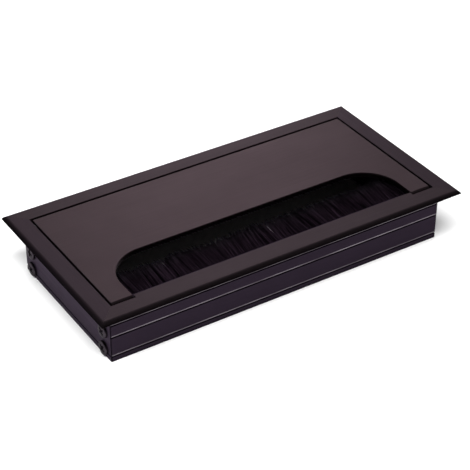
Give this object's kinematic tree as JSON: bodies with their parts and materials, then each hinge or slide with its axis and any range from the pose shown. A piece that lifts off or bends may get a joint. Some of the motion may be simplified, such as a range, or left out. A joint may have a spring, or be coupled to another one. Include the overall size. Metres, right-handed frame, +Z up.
{
  "type": "desk grommet",
  "caption": "Rectangular drop-in desk cable grommet: black mitred aluminium frame, hinged lid with a long rounded cable cut-out, and a strip brush that closes the cut-out.",
  "frame": {"origin": "on the underside of the walls, below the middle of the frame: the bottom centre of the bounding box", "axes": "+X along the long side to the right, +Y towards the hinge side, +Z up out of the desktop; the cable slot is on the -Y side"},
  "size_m": [0.16, 0.08, 0.0235],
  "materials": {
    "frame_black": "satin",
    "lid_black": "satin",
    "screw_black": "satin",
    "hinge_steel": "satin",
    "brush_steel": "satin",
    "bristle_nylon": "satin",
    "bush_nylon": "satin",
    "stop_rubber": "matte"
  },
  "bodies": {
    "frame": {"front_rail": "frame_black", "rear_rail": "frame_black", "left_rail": "frame_black", "right_rail": "frame_black", "hinge_pin_left": "hinge_steel", "hinge_pin_right": "hinge_steel", "lid_stop_left": "stop_rubber", "lid_stop_right": "stop_rubber", "brush_channel": "brush_steel", "brush_core_wire": "brush_steel", "brush_bristles": "bristle_nylon", "corner_screw_left_front_upper": "screw_black", "corner_screw_left_front_lower": "screw_black", "corner_screw_left_rear_upper": "screw_black", "corner_screw_left_rear_lower": "screw_black", "corner_screw_right_front_upper": "screw_black", "corner_screw_right_front_lower": "screw_black", "corner_screw_right_rear_upper": "screw_black", "corner_screw_right_rear_lower": "screw_black"},
    "lid": {"lid": "lid_black", "hinge_bush_left": "bush_nylon", "hinge_bush_right": "bush_nylon"}
  },
  "joints": [
    {"name": "lid_hinge", "type": "hinge", "parent": "frame", "child": "lid", "pos_m": [0, 0.0283, 0.0208], "axis": [-1, 0, 0], "range_deg": [0, 105]}
  ]
}
